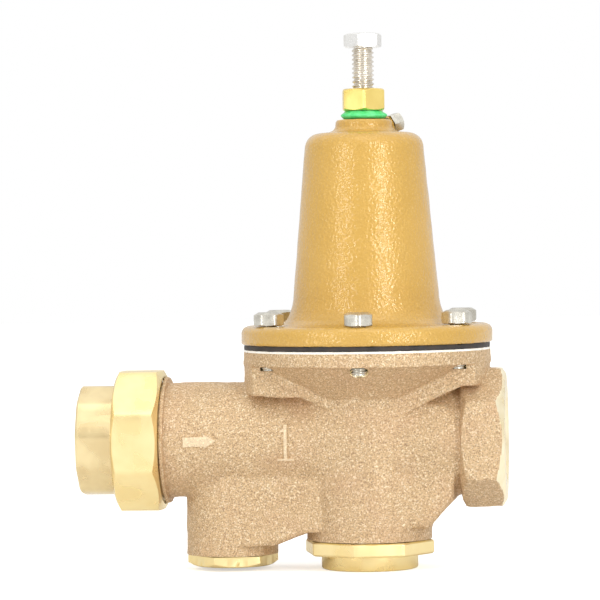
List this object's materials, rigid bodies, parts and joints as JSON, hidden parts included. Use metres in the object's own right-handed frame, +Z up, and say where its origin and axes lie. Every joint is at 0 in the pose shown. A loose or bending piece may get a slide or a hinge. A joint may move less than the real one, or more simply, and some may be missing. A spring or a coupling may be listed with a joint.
{
  "type": "water pressure regulator",
  "caption": "Bronze pressure reducing valve with a painted spring bonnet, a union inlet, a strainer leg, a hexagonal outlet and a screw adjuster under a lock nut.",
  "frame": {"origin": "centre of the bottom plug's lower face, under the adjusting screw's axis", "axes": "+Z up along the adjusting screw, +X the way the water flows from the union to the outlet, -Y the front that carries the flow arrow"},
  "size_m": [0.1644, 0.097, 0.2055],
  "materials": {
    "cast_bronze": "sandy as-cast bronze, matt with a fine glitter",
    "turned_brass": "bright turned brass with fine tool marks",
    "gold_paint": "thick ochre gold enamel over a rough casting",
    "stainless": "bright stainless steel",
    "spring_steel": "zinc plated steel",
    "black_rubber": "matt black rubber with a fabric core",
    "green_seal": "satin green sealing plastic",
    "grey_fibre": "dull grey fibre gasket"
  },
  "bodies": {
    "regulator_body": {"body": "cast_bronze", "bell_housing": "gold_paint", "diaphragm": "black_rubber", "vent_plug": "stainless", "flange_screw_1": "stainless", "flange_screw_2": "stainless", "flange_screw_3": "stainless", "flange_screw_4": "stainless", "flange_screw_5": "stainless", "flange_screw_6": "stainless", "adjusting_spring": "spring_steel", "stem_seal": "black_rubber", "seat_ring": "stainless", "bottom_plug": "turned_brass", "bottom_plug_seal": "black_rubber", "strainer_cap": "turned_brass", "strainer_cap_gasket": "grey_fibre", "strainer_screen": "stainless"},
    "valve_stem": {"stem": "stainless", "disc_holder": "turned_brass", "seat_disc": "black_rubber", "disc_screw": "stainless", "diaphragm_washer": "turned_brass", "pressure_plate": "spring_steel", "stem_nut": "turned_brass"},
    "spring_button": {"spring_button": "spring_steel"},
    "adjusting_screw": {"adjusting_screw": "stainless"},
    "sealing_washer": {"sealing_washer": "green_seal"},
    "lock_nut": {"lock_nut": "turned_brass"},
    "union_tailpiece": {"union_tailpiece": "turned_brass", "union_gasket": "grey_fibre"},
    "union_nut": {"union_nut": "turned_brass"}
  },
  "joints": [
    {"name": "valve_stroke", "type": "slide", "parent": "regulator_body", "child": "valve_stem", "axis": [0, 0, 1], "range_m": [0, 0.004], "stiffness_N_per_m": 1500, "springref_m": -0.002, "deforming": ["diaphragm"]},
    {"name": "button_travel", "type": "slide", "parent": "regulator_body", "child": "spring_button", "axis": [0, 0, 1], "range_m": [-0.0119, 0.0034], "deforming": ["adjusting_spring"]},
    {"name": "screw_turn", "type": "hinge", "parent": "spring_button", "child": "adjusting_screw", "pos_m": [0, 0, 0.1715], "axis": [0, 0, 1], "range_deg": [-2520, 720]},
    {"name": "washer_travel", "type": "slide", "parent": "regulator_body", "child": "sealing_washer", "axis": [0, 0, 1], "range_m": [0, 0.0034]},
    {"name": "nut_turn", "type": "hinge", "parent": "sealing_washer", "child": "lock_nut", "pos_m": [0, 0, 0.1765], "axis": [0, 0, 1], "range_deg": [0, 720]},
    {"name": "tailpiece_travel", "type": "slide", "parent": "regulator_body", "child": "union_tailpiece", "axis": [-1, 0, 0], "range_m": [0, 0.01039]},
    {"name": "union_nut_turn", "type": "hinge", "parent": "union_tailpiece", "child": "union_nut", "pos_m": [-0.0876, 0, 0.05], "axis": [-1, 0, 0], "range_deg": [0, 1620]}
  ],
  "couplings": [
    {"joint": "screw_turn", "follows": "button_travel", "rad_per_m": 3696},
    {"joint": "nut_turn", "follows": "washer_travel", "rad_per_m": 3696},
    {"joint": "union_nut_turn", "follows": "tailpiece_travel", "rad_per_m": 2721.1}
  ]
}
